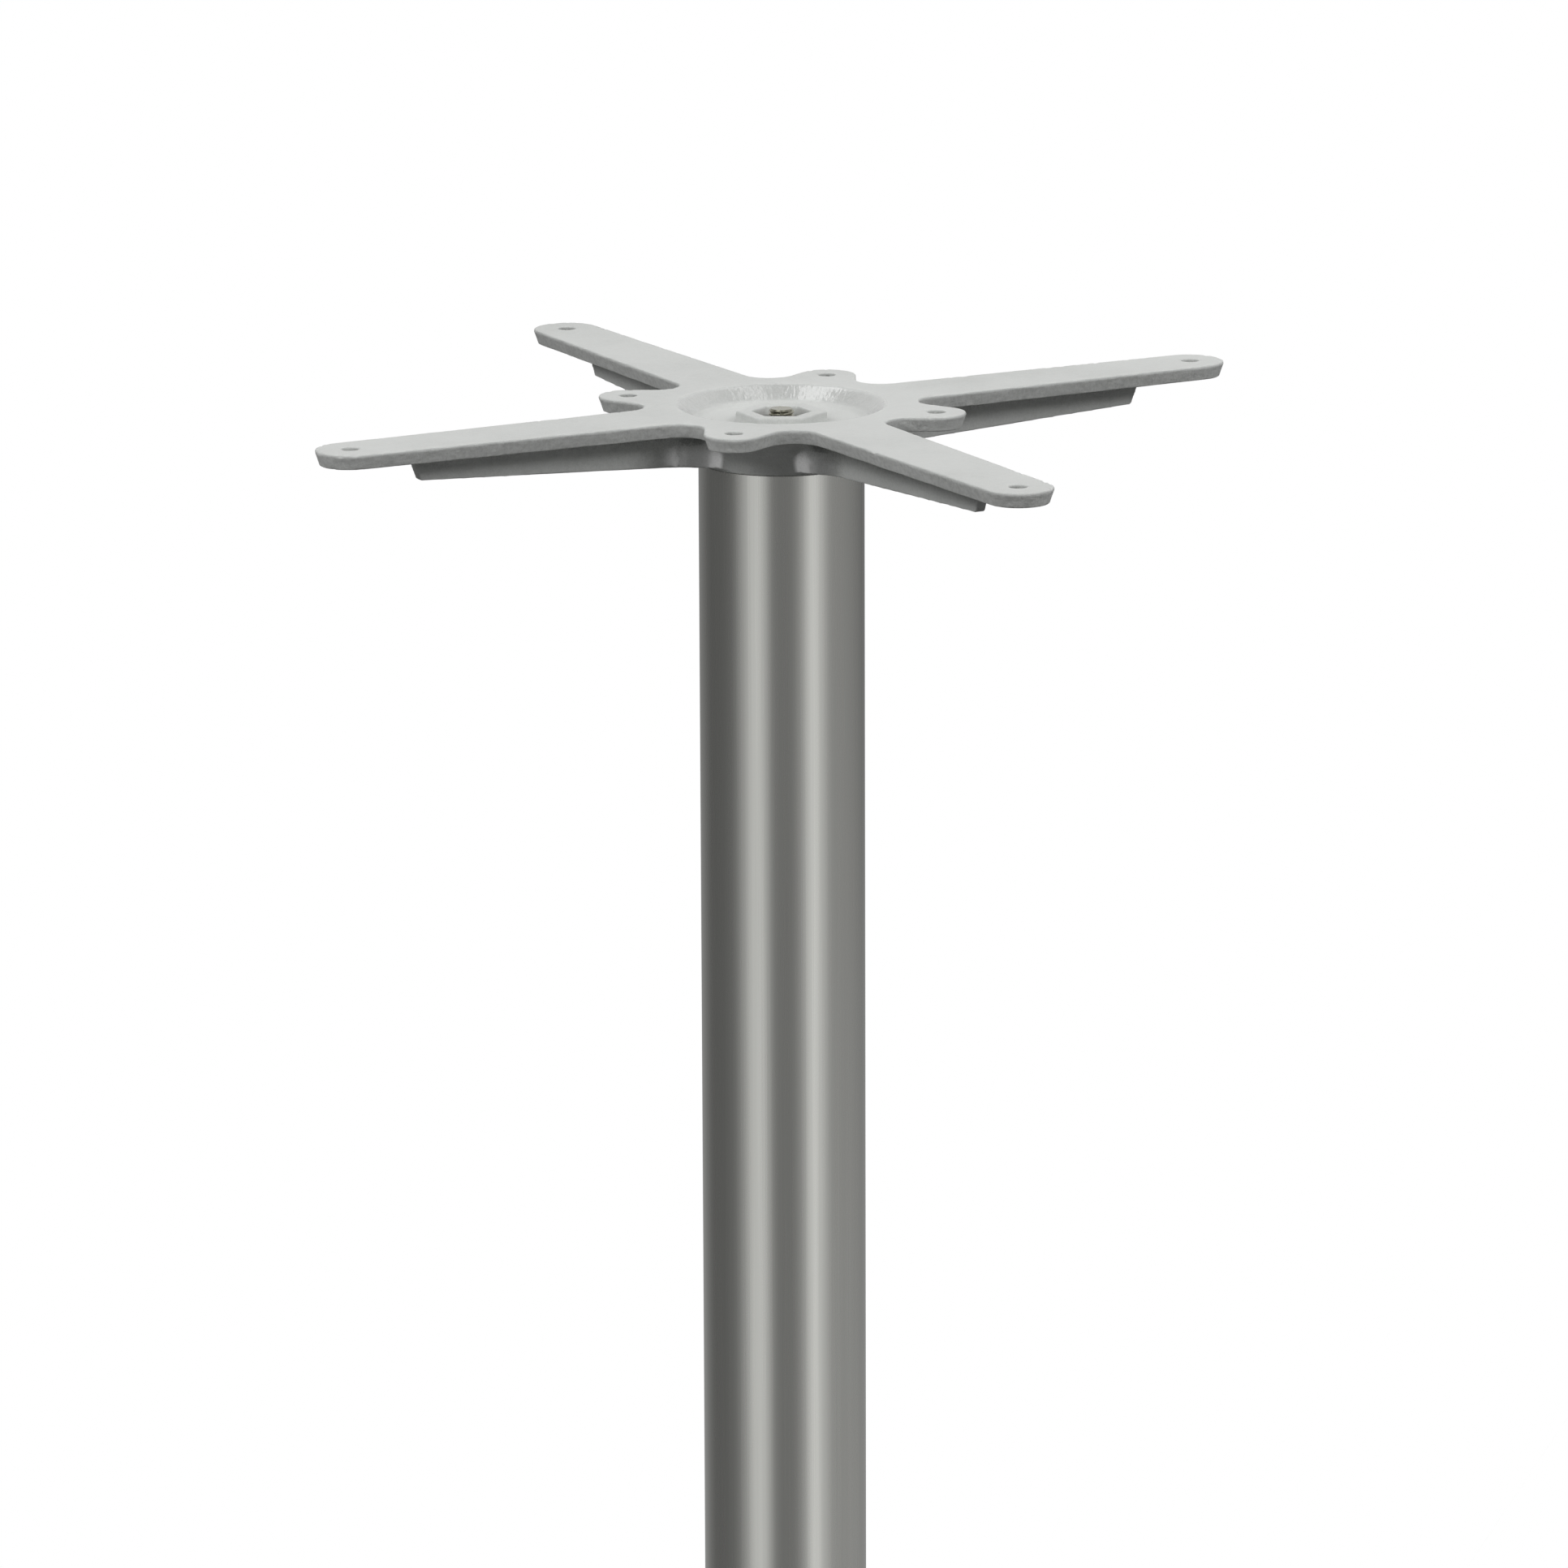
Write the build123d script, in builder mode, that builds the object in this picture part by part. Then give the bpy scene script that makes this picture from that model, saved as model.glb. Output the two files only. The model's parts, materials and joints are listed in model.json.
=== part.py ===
from build123d import *

import os
from math import asin, cos, hypot, radians, sin, sqrt, tan

# Standing table base: a cast spider, a stainless column and a weighted round foot on one tie rod.
# Millimetres. Origin on the floor under the column, +Z up, the spider's arms along X and Y.

# Overall
table_height = 1080.0  # floor to the face under the table top
arm_count = 4

# Column and tie rod
tube_diameter = 76.0
tube_wall = 1.5
rod_diameter = 12.0
rod_hole_clearance = 0.5
rod_top_depth = 2.3  # top face of the spider down to the rod's end
rod_tail = 3.0  # rod that shows under the lower nut
rod_end_chamfer = 1.2

# Spider in plan
arm_hole_radius = 217.3  # column axis to the screw hole in an arm
arm_root_radius = 20.2  # half the arm's width at the column axis
arm_tip_radius = 16.2
ear_hole_radius = 73.5  # column axis to the screw hole in an ear
ear_root_radius = 34.0  # half the ear's width at the column axis
ear_end_radius = 14.0
screw_hole_diameter = 8.0
corner_radius = 11.0  # inner corner between an arm and an ear
corner_share = 0.95  # most of an ear's flank that an inner corner may take

# Spider plate
plate_thickness = 7.1
plate_draft = 19.0
plate_edge_round = 1.0

# Bowl, boss and nut pocket in the spider's hub
bowl_rim_radius = 47.5
bowl_floor_radius = 37.5
bowl_depth = 8.5
bowl_rim_round = 2.0
bowl_floor_round = 4.0
boss_flats = 37.6
boss_height = 5.0
boss_draft = 6.0
boss_corner_round = 3.0
boss_edge_round = 1.0
nut_depth = 8.5  # top face of the spider down to the nut
pocket_clearance = 0.5
pocket_draft = 6.5
pocket_wall = 6.5
pocket_floor = 8.5
hub_skin = 6.0  # wall under the bowl

# Skirt and ribs under the spider
hub_depth = 26.4  # top face of the spider down to the column
hub_draft = 5.0
hub_fillet = 12.0  # skirt into the plate, round the back of the bowl
rib_width = 6.6  # at the plate
rib_end_radius = 187.6  # at the plate
rib_end_draft = 19.0
rib_end_round = 1.2
rib_root_depth = 25.1  # top face down to the rib's lower edge at the skirt
rib_end_depth = 17.4  # the same at the rib's outer end
rib_blend_radius = 30.0
spigot_depth = 12.0
spigot_wall = 6.0
spigot_clearance = 0.3

# Nuts and washers
nut_flats = 19.0
nut_height = 10.0
nut_chamfer_angle = 30.0
nut_face_share = 0.95  # chamfer circle against the flats
thread_clearance = 0.1
flat_washer_diameter = 37.0
flat_washer_thickness = 3.0
spring_washer_diameter = 21.0
spring_washer_thickness = 2.6
spring_washer_slit = 2.0
spring_washer_slant = 20.0

# Round foot
base_diameter = 450.0
base_rim_height = 14.0
base_edge_radius = 8.0
base_flat_radius = 55.0  # flat seat round the column
floor_gap = 9.0
cover_thickness = 1.2
cover_fit = 0.3
weight_skin = 9.0
weight_rim_width = 16.0
weight_hub_radius = 46.0
weight_hub_thickness = 11.0
weight_rib_width = 8.0
weight_rib_rise = 4.0  # ribs stop this far above the rim's lower edge
rod_end_clearance = 1.0  # rod's lower end above the rim's lower edge

# Levelling feet
foot_circle_radius = 180.0
foot_boss_radius = 14.0
pad_diameter = 34.0
pad_round = 1.5
foot_clearance = 0.3
stud_diameter = 8.0
stud_clearance = 0.15
stud_reach = 13.0  # stud inside the foot's boss
stud_tip_clearance = 1.0
stud_tip_chamfer = 1.0
stud_head_flats = 13.0
stud_head_height = 5.3
stud_head_fit = 0.1

# Heights that follow
tube_radius = tube_diameter / 2
tube_inner_radius = tube_radius - tube_wall
spigot_radius = tube_inner_radius - spigot_clearance
spigot_inner_radius = spigot_radius - spigot_wall
rod_radius = rod_diameter / 2
rod_hole_radius = rod_radius + rod_hole_clearance

rod_bottom_z = floor_gap + rod_end_clearance
bottom_nut_z = rod_bottom_z + rod_tail
spring_washer_z = bottom_nut_z + nut_height
flat_washer_z = spring_washer_z + spring_washer_thickness
weight_hub_z = flat_washer_z + flat_washer_thickness
weight_top_z = weight_hub_z + weight_hub_thickness
tube_bottom_z = weight_top_z + cover_thickness
tube_top_z = table_height - hub_depth
rod_top_z = table_height - rod_top_depth
nut_seat_z = table_height - nut_depth - nut_height
boss_top_z = table_height - bowl_depth + boss_height

top_plane = Plane.XY.offset(table_height)
ear_start = 360 / arm_count / 2
hex_turn = 30  # stands a hexagon's corners along Y
hex_corner = 1 / cos(radians(hex_turn))  # corner radius of a hexagon against half its flats


def ring_sketch(plane, outer_radius, inner_radius):
    with BuildSketch(plane) as ring:
        Circle(outer_radius)
        Circle(inner_radius, mode=Mode.SUBTRACT)
    return ring.sketch


def flank_lean(reach, root_radius, end_radius):
    return asin((root_radius - end_radius) / reach)


def tapered_arm(reach, root_radius, end_radius):
    """An arm along X in plan: a round end and two flanks that meet it smoothly."""
    lean = flank_lean(reach, root_radius, end_radius)
    root = (0, root_radius / cos(lean))
    end = (reach + end_radius * sin(lean), end_radius * cos(lean))
    with BuildSketch() as arm:
        Polygon(root, end, (end[0], -end[1]), (root[0], -root[1]), align=None)
        with Locations((reach, 0)):
            Circle(end_radius)
    return arm.sketch


# Top spider
arm_lean = flank_lean(arm_hole_radius, arm_root_radius, arm_tip_radius)
ear_lean = flank_lean(ear_hole_radius, ear_root_radius, ear_end_radius)
corner_angle = radians(ear_start) + arm_lean + ear_lean  # between an arm's flank and an ear's
corner_run = (arm_root_radius + ear_root_radius * cos(corner_angle)) / sin(corner_angle)
ear_flank = ear_hole_radius * cos(ear_lean) - corner_run
corner_limit = corner_share * ear_flank * tan(corner_angle / 2)
skirt_radius = tube_radius + (hub_depth - plate_thickness) * tan(radians(hub_draft))
rib_foot_radius = rib_end_radius - (rib_end_depth - plate_thickness) * tan(radians(rib_end_draft))
pocket_flats = nut_flats + 2 * pocket_clearance
pocket_boss_radius = pocket_flats / 2 * hex_corner + pocket_wall

with BuildPart() as top_spider:
    with BuildSketch(top_plane) as plan:
        with PolarLocations(0, arm_count):
            add(tapered_arm(arm_hole_radius, arm_root_radius, arm_tip_radius))
        with PolarLocations(0, arm_count, start_angle=ear_start):
            add(tapered_arm(ear_hole_radius, ear_root_radius, ear_end_radius))
        inner_corners = plan.vertices().filter_by(lambda v: hypot(v.X, v.Y) < ear_hole_radius)
        fillet(inner_corners, min(corner_radius, corner_limit))
    extrude(amount=-plate_thickness, taper=plate_draft)

    # Skirt and ribs, drafted downwards and cut to the ribs' sloping lower edge and slanted end
    with BuildSketch(top_plane.offset(-plate_thickness)) as skirt:
        Circle(skirt_radius)
        with PolarLocations(0, arm_count):
            Rectangle(rib_end_radius + rib_width, rib_width, align=(Align.MIN, Align.CENTER))
        rib_roots = skirt.vertices().filter_by(lambda v: hypot(v.X, v.Y) < skirt_radius + rib_width)
        fillet(rib_roots, rib_blend_radius)
    extrude(amount=plate_thickness - hub_depth, taper=hub_draft)
    with BuildSketch(Plane.XZ) as rib_trim:
        Polygon(
            (tube_radius, table_height - rib_root_depth),
            (rib_foot_radius, table_height - rib_end_depth),
            (rib_end_radius, table_height - plate_thickness),
            (rib_end_radius + 2 * rib_width, table_height - plate_thickness),
            (rib_end_radius + 2 * rib_width, tube_top_z),
            (tube_radius, tube_top_z),
            align=None,
        )
        rib_foot = (rib_foot_radius, table_height - rib_end_depth)
        fillet(rib_trim.vertices().sort_by_distance(rib_foot)[0], rib_end_round)
    revolve(axis=Axis.Z, mode=Mode.SUBTRACT)
    with BuildSketch(Plane.XZ):
        with BuildLine():
            hub_face = table_height - plate_thickness
            Polyline(
                (skirt_radius + hub_fillet, hub_face),
                (spigot_inner_radius, hub_face),
                (spigot_inner_radius, hub_face - hub_fillet),
                (skirt_radius, hub_face - hub_fillet),
            )
            RadiusArc(
                (skirt_radius, hub_face - hub_fillet), (skirt_radius + hub_fillet, hub_face), hub_fillet
            )
        make_face()
    revolve(axis=Axis.Z)

    # Bowl in the hub, hollow under it, and the spigot inside the column
    with BuildSketch(Plane.XZ) as bowl:
        Polygon(
            (0, table_height),
            (bowl_rim_radius, table_height),
            (bowl_floor_radius, table_height - bowl_depth),
            (0, table_height - bowl_depth),
            align=None,
        )
        bowl_foot = (bowl_floor_radius, table_height - bowl_depth)
        fillet(bowl.vertices().sort_by_distance(bowl_foot)[0], bowl_floor_round)
    revolve(axis=Axis.Z, mode=Mode.SUBTRACT)
    with BuildSketch(Plane.XY.offset(tube_top_z)):
        Circle(spigot_inner_radius)
    extrude(amount=hub_depth - bowl_depth - hub_skin, mode=Mode.SUBTRACT)
    extrude(ring_sketch(Plane.XY.offset(tube_top_z), spigot_radius, spigot_inner_radius), -spigot_depth)

    # Hexagonal boss and pocket that hold the nut
    with BuildSketch(Plane.XY.offset(nut_seat_z - pocket_floor)):
        Circle(pocket_boss_radius)
    extrude(amount=pocket_floor + table_height - bowl_depth - nut_seat_z)
    with BuildSketch(Plane.XY.offset(table_height - bowl_depth)) as boss:
        RegularPolygon(boss_flats / 2, 6, major_radius=False, rotation=hex_turn)
        fillet(boss.vertices(), boss_corner_round)
    extrude(amount=boss_height, taper=boss_draft)
    with BuildSketch(Plane.XY.offset(nut_seat_z)):
        RegularPolygon(pocket_flats / 2, 6, major_radius=False, rotation=hex_turn)
    extrude(amount=boss_top_z - nut_seat_z, taper=-pocket_draft, mode=Mode.SUBTRACT)
    with BuildSketch(Plane.XY.offset(nut_seat_z)):
        Circle(rod_hole_radius)
    extrude(amount=-pocket_floor, mode=Mode.SUBTRACT)

    # Soft cast edges, then the screw holes
    top_face = top_spider.faces().sort_by(Axis.Z)[-1]
    fillet(top_face.outer_wire().edges(), plate_edge_round)
    bowl_rim = top_spider.faces().sort_by(Axis.Z)[-1].inner_wires()[0]
    fillet(bowl_rim.edges(), bowl_rim_round)
    boss_face = top_spider.faces().filter_by(Plane.XY).sort_by_distance((0, 0, boss_top_z))[0]
    fillet(boss_face.edges(), boss_edge_round)
    with BuildSketch(top_plane):
        with PolarLocations(arm_hole_radius, arm_count):
            Circle(screw_hole_diameter / 2)
        with PolarLocations(ear_hole_radius, arm_count, start_angle=ear_start):
            Circle(screw_hole_diameter / 2)
    extrude(amount=-plate_thickness, mode=Mode.SUBTRACT)

# Column
with BuildPart() as column_tube:
    tube_length = tube_top_z - tube_bottom_z
    extrude(ring_sketch(Plane.XY.offset(tube_bottom_z), tube_radius, tube_inner_radius), tube_length)

# Tie rod
with BuildPart() as tie_rod:
    with BuildSketch(Plane.XY.offset(rod_bottom_z)):
        Circle(rod_radius)
    extrude(amount=rod_top_z - rod_bottom_z)
    chamfer(tie_rod.edges().filter_by(GeomType.CIRCLE), rod_end_chamfer)


def hex_nut(seat_z):
    face_radius = nut_flats / 2 * nut_face_share
    corner = nut_flats / 2 * hex_corner
    slope = (corner - face_radius) * tan(radians(nut_chamfer_angle))
    with BuildPart() as nut:
        with BuildSketch(Plane.XY.offset(seat_z)):
            RegularPolygon(nut_flats / 2, 6, major_radius=False, rotation=hex_turn)
            Circle(rod_radius + thread_clearance, mode=Mode.SUBTRACT)
        extrude(amount=nut_height)
        with BuildSketch(Plane.XZ):
            Polygon(
                (0, seat_z),
                (face_radius, seat_z),
                (corner, seat_z + slope),
                (corner, seat_z + nut_height - slope),
                (face_radius, seat_z + nut_height),
                (0, seat_z + nut_height),
                align=None,
            )
        revolve(axis=Axis.Z, mode=Mode.INTERSECT)
    return nut


top_nut = hex_nut(nut_seat_z)
bottom_nut = hex_nut(bottom_nut_z)

# Washers under the foot
with BuildPart() as bottom_flat_washer:
    washer_face = ring_sketch(Plane.XY.offset(flat_washer_z), flat_washer_diameter / 2, rod_hole_radius)
    extrude(washer_face, flat_washer_thickness)

with BuildPart() as bottom_spring_washer:
    spring_face = ring_sketch(
        Plane.XY.offset(spring_washer_z), spring_washer_diameter / 2, rod_hole_radius
    )
    extrude(spring_face, spring_washer_thickness)
    with BuildSketch(Plane.YZ):
        with Locations((0, spring_washer_z + spring_washer_thickness / 2)):
            Rectangle(spring_washer_slit, 2 * spring_washer_thickness, rotation=spring_washer_slant)
    extrude(amount=spring_washer_diameter / 2, mode=Mode.SUBTRACT)

# Base: the cover's outer line, then the casting under it
base_radius = base_diameter / 2
base_rim_z = floor_gap + base_rim_height
dome_run = base_radius - base_flat_radius
dome_fall = tube_bottom_z - base_rim_z
dome_radius = (dome_run**2 + dome_fall**2) / (2 * dome_fall)


def dome_drop(radius):
    return dome_radius - sqrt(dome_radius**2 - (radius - base_flat_radius) ** 2)


with BuildPart() as base_cover:
    with BuildSketch(Plane.XZ) as cover_section:
        with BuildLine() as cover_line:
            Line((tube_inner_radius, tube_bottom_z), (base_flat_radius, tube_bottom_z))
            TangentArc((base_flat_radius, tube_bottom_z), (base_radius, base_rim_z), tangent=(1, 0))
            Line((base_radius, base_rim_z), (base_radius, floor_gap))
            shoulder = cover_line.vertices().sort_by_distance((base_radius, base_rim_z))[0]
            fillet(shoulder, base_edge_radius)
            offset(amount=cover_thickness, side=Side.RIGHT)
        make_face()
    revolve(axis=Axis.Z)

weight_radius = base_radius - cover_thickness - cover_fit
weight_rim_inner = weight_radius - weight_rim_width
weight_edge_z = weight_top_z - cover_fit - dome_drop(weight_radius)
skin_z = weight_top_z - weight_skin
foot_places = PolarLocations(foot_circle_radius, arm_count, start_angle=ear_start)

with BuildPart() as base_weight:
    # Ribs and foot bosses run up to the dome before the round section joins them
    with BuildSketch(Plane.XY.offset(floor_gap + weight_rib_rise)):
        with PolarLocations(weight_hub_radius - weight_rib_width / 2, arm_count):
            rib_run = weight_rim_inner - weight_hub_radius + weight_rib_width
            Rectangle(rib_run, weight_rib_width, align=(Align.MIN, Align.CENTER))
    extrude(amount=weight_top_z - floor_gap - weight_rib_rise)
    with BuildSketch(Plane.XY.offset(floor_gap)):
        with foot_places:
            Circle(foot_boss_radius)
    extrude(amount=weight_top_z - floor_gap)
    with BuildSketch(Plane.XZ):
        with BuildLine():
            TangentArc((base_flat_radius, weight_top_z), (weight_radius, weight_edge_z), tangent=(1, 0))
            Polyline(
                (weight_radius, weight_edge_z),
                (weight_radius, floor_gap),
                (0, floor_gap),
                (0, weight_top_z),
                (base_flat_radius, weight_top_z),
            )
        make_face()
    revolve(axis=Axis.Z, mode=Mode.INTERSECT)
    with BuildSketch(Plane.XZ) as weight_section:
        with BuildLine():
            Polyline(
                (rod_hole_radius, weight_hub_z),
                (weight_hub_radius, weight_hub_z),
                (weight_hub_radius, skin_z),
                (base_flat_radius, skin_z),
            )
            TangentArc(
                (base_flat_radius, skin_z),
                (weight_rim_inner, skin_z - dome_drop(weight_rim_inner)),
                tangent=(1, 0),
            )
            Polyline(
                (weight_rim_inner, skin_z - dome_drop(weight_rim_inner)),
                (weight_rim_inner, floor_gap),
                (weight_radius, floor_gap),
                (weight_radius, weight_edge_z),
            )
            TangentArc((base_flat_radius, weight_top_z), (weight_radius, weight_edge_z), tangent=(1, 0))
            Polyline(
                (base_flat_radius, weight_top_z),
                (spigot_radius, weight_top_z),
                (spigot_radius, tube_bottom_z + spigot_depth),
                (spigot_inner_radius, tube_bottom_z + spigot_depth),
                (spigot_inner_radius, weight_top_z),
                (rod_hole_radius, weight_top_z),
                (rod_hole_radius, weight_hub_z),
            )
        make_face()
        weight_shoulder = weight_section.vertices().sort_by_distance((weight_radius, weight_edge_z))[0]
        fillet(weight_shoulder, base_edge_radius)
    revolve(axis=Axis.Z)
    with BuildSketch(Plane.XY.offset(floor_gap)):
        with foot_places:
            Circle(stud_diameter / 2 + stud_clearance)
    extrude(amount=stud_reach + stud_tip_clearance, mode=Mode.SUBTRACT)

# Levelling feet: a plastic pad moulded round the hexagonal head of a steel stud
pad_top_z = floor_gap - foot_clearance
stud_head_z = pad_top_z - stud_head_height


def foot_pad(place):
    with BuildPart() as pad:
        with BuildSketch(place):
            Circle(pad_diameter / 2)
        extrude(amount=pad_top_z)
        fillet(pad.edges().filter_by(GeomType.CIRCLE), pad_round)
        with BuildSketch(place.offset(stud_head_z)):
            RegularPolygon(stud_head_flats / 2 + stud_head_fit, 6, major_radius=False)
        extrude(amount=stud_head_height, mode=Mode.SUBTRACT)
    return pad


def foot_stud(place):
    with BuildPart() as stud:
        with BuildSketch(place.offset(stud_head_z)):
            RegularPolygon(stud_head_flats / 2, 6, major_radius=False)
        extrude(amount=stud_head_height)
        with BuildSketch(place.offset(pad_top_z)):
            Circle(stud_diameter / 2)
        extrude(amount=foot_clearance + stud_reach)
        chamfer(stud.edges().sort_by(Axis.Z)[-1], stud_tip_chamfer)
    return stud


foot_names = ("back_right", "back_left", "front_left", "front_right")
pieces = {
    "top_spider": top_spider,
    "column_tube": column_tube,
    "tie_rod": tie_rod,
    "top_nut": top_nut,
    "base_cover": base_cover,
    "base_weight": base_weight,
    "bottom_flat_washer": bottom_flat_washer,
    "bottom_spring_washer": bottom_spring_washer,
    "bottom_nut": bottom_nut,
}
for foot_name, location in zip(foot_names, foot_places):
    foot_plane = Plane(location)
    pieces[f"foot_pad_{foot_name}"] = foot_pad(foot_plane)
    pieces[f"foot_stud_{foot_name}"] = foot_stud(foot_plane)

os.makedirs("parts", exist_ok=True)
for node_name, piece in pieces.items():
    piece.part.label = node_name
    export_step(piece.part, f"parts/{node_name}.step")
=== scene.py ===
import json
from math import cos, pi, radians, sin

import bpy
import numpy as np
from mathutils import Matrix, Vector


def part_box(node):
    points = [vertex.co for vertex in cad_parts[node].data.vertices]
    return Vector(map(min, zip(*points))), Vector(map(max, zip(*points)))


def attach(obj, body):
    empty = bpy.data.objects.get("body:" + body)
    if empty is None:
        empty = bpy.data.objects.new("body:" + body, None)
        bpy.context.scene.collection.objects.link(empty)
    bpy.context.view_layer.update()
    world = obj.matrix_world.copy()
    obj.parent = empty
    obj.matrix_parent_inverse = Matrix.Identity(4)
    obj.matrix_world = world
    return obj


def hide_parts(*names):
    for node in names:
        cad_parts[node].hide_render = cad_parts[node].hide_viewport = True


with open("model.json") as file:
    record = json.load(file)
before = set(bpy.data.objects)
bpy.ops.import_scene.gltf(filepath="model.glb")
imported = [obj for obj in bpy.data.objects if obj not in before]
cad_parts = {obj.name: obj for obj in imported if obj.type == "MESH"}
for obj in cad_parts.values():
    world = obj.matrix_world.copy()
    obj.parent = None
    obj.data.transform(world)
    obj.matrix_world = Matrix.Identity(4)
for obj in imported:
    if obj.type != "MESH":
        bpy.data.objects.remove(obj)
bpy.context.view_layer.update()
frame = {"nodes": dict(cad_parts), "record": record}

nodes = frame["nodes"]
scene = bpy.context.scene
MM = 0.001

# Heights and radii read from the frame
column_low, column_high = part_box("column_tube")
COLUMN_RADIUS = column_high.x
COLUMN_BOTTOM = column_low.z
COLUMN_TOP = column_high.z
TABLE_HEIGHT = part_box("top_spider")[1].z
rod_low, rod_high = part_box("tie_rod")
ROD_RADIUS = rod_high.x
ROD_BOTTOM = rod_low.z
ROD_TOP = rod_high.z

# Screw holes: from diameters in millimetres to radii in metres
mounts = {mount["name"]: mount for mount in frame["record"]["mounts"]}
ARM_HOLES = mounts["arm_holes"]["dims"]["pcd_mm"] / 2000
EAR_HOLES = mounts["ear_holes"]["dims"]["pcd_mm"] / 2000
HOLE_RADIUS = mounts["arm_holes"]["dims"]["hole_r_mm"] / 1000

# Sizes that only the looks need
COLUMN_WALL = 1.5 * MM
COLUMN_EDGE = 0.25 * MM
COLUMN_RIM = COLUMN_EDGE / 4  # the outer edge under the spider is nearly sharp
COLUMN_SEGMENTS = 256
ROD_PITCH = 1.75 * MM
ROD_THREAD_LENGTH = 45 * MM
ROD_CHAMFER = 1.2 * MM
STUD_RADIUS = 4 * MM
STUD_PITCH = 1.25 * MM
STUD_CHAMFER = 1.0 * MM
STUD_NECK = 0.2 * MM  # plain length between the head and the thread
STUD_HEAD_FLATS = 13 * MM
STUD_HEAD_HEIGHT = 5.3 * MM
STUD_HEAD_CHAMFER = 0.5 * MM
THREAD_DEPTH_SHARE = 0.55  # thread depth against its pitch
THREAD_FLAT = 0.12  # share of the thread's flank that is flat at its crest and at its root
THREAD_FADE_TURNS = 2
ROWS_PER_TURN = 8
BAR_SEGMENTS = 48
SHARP_ANGLE = radians(32)

# Camera, seen from the point it looks at
CAMERA_AZIMUTH = radians(-28.178)
CAMERA_ELEVATION = radians(13.598)
CAMERA_ROLL = radians(-0.214)
CAMERA_DISTANCE = 3.7721
CAMERA_LENS = 187.66
CAMERA_SENSOR = 36.0
LOOK_DROP = 0.17879  # below the spider's top face
LOOK_RIGHT = 0.0006


# Small helpers for meshes
def new_object(name, data):
    thing = bpy.data.objects.new(name, data)
    scene.collection.objects.link(thing)
    return thing


def mesh_from(name, points, faces):
    mesh = bpy.data.meshes.new(name)
    mesh.from_pydata([tuple(p) for p in points], [], faces)
    mesh.validate()
    mesh.shade_smooth()
    mesh.set_sharp_from_angle(angle=SHARP_ANGLE)
    mesh.update()
    return mesh


def full_turn(count):
    return [2 * pi * i / count for i in range(count)]


def ring_faces(first, second, count):
    return [
        (first + i, first + (i + 1) % count, second + (i + 1) % count, second + i)
        for i in range(count)
    ]


def revolved(name, profile, segments):
    """A closed profile of radius and height pairs turned about the Z axis."""
    turns = full_turn(segments)
    points = [(radius * cos(t), radius * sin(t), height) for radius, height in profile for t in turns]
    faces = []
    for row in range(len(profile)):
        following = (row + 1) % len(profile)
        faces.extend(ring_faces(row * segments, following * segments, segments))
    return mesh_from(name, points, faces)


def lofted(name, rows, centre):
    """Rings of points, one row above the other, closed by a flat cap at each end."""
    count = len(rows[0])
    points = [(x + centre[0], y + centre[1], z) for row in rows for x, y, z in row]
    faces = []
    for row in range(len(rows) - 1):
        faces.extend(ring_faces(row * count, (row + 1) * count, count))
    faces.append(tuple(reversed(range(count))))
    last = (len(rows) - 1) * count
    faces.append(tuple(range(last, last + count)))
    return mesh_from(name, points, faces)


def round_row(radius, height):
    return [(radius * cos(t), radius * sin(t), height) for t in full_turn(BAR_SEGMENTS)]


def hexagon_row(flats, height):
    row = []
    for turn in full_turn(BAR_SEGMENTS):
        across = (turn % (pi / 3)) - pi / 6
        radius = flats / 2 / cos(across)
        row.append((radius * cos(turn), radius * sin(turn), height))
    return row


def thread_rows(radius, pitch, bottom, top, chamfer, free_end):
    """Rows of a screw thread, chamfered at its free end and fading into the bar at the other."""
    depth = THREAD_DEPTH_SHARE * pitch
    count = int(round((top - bottom) / pitch * ROWS_PER_TURN))
    rows = []
    for step in range(count + 1):
        height = bottom + (top - bottom) * step / count
        from_bar, from_end = height - bottom, top - height
        if free_end == "bottom":
            from_bar, from_end = from_end, from_bar
        share = min(1.0, from_bar / (THREAD_FADE_TURNS * pitch))
        limit = min(radius, radius - chamfer + from_end)
        row = []
        for turn in full_turn(BAR_SEGMENTS):
            phase = (height / pitch - turn / (2 * pi)) % 1.0
            groove = 1 - abs(2 * phase - 1)
            groove = min(max((groove - THREAD_FLAT) / (1 - 2 * THREAD_FLAT), 0.0), 1.0)
            r = min(radius - depth * share * groove, limit)
            row.append((r * cos(turn), r * sin(turn), height))
        rows.append(row)
    return rows


# Repeatable noise for the casting's skin
HASH_AXES = (73856093, 19349663, 83492791)
HASH_SEED = 2654435761
HASH_ROUNDS = ((15, 2246822519), (13, 3266489917))
HASH_LAST_SHIFT = 16
HASH_WORD = 0xFFFFFFFF
CELL_OFFSET = 4096.0  # keeps the cells' numbers above nought


def lattice_values(cells, seed):
    """A repeatable value from nought to one for each cell."""
    word = np.uint64(HASH_WORD)
    mixed = np.zeros(len(cells), np.uint64)
    for axis, factor in enumerate(HASH_AXES):
        mixed ^= cells[:, axis].astype(np.uint64) * np.uint64(factor)
    mixed = (mixed + np.uint64(seed * HASH_SEED)) & word
    for shift, factor in HASH_ROUNDS:
        mixed = ((mixed ^ (mixed >> np.uint64(shift))) * np.uint64(factor)) & word
    return (mixed ^ (mixed >> np.uint64(HASH_LAST_SHIFT))).astype(np.float64) / HASH_WORD


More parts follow.
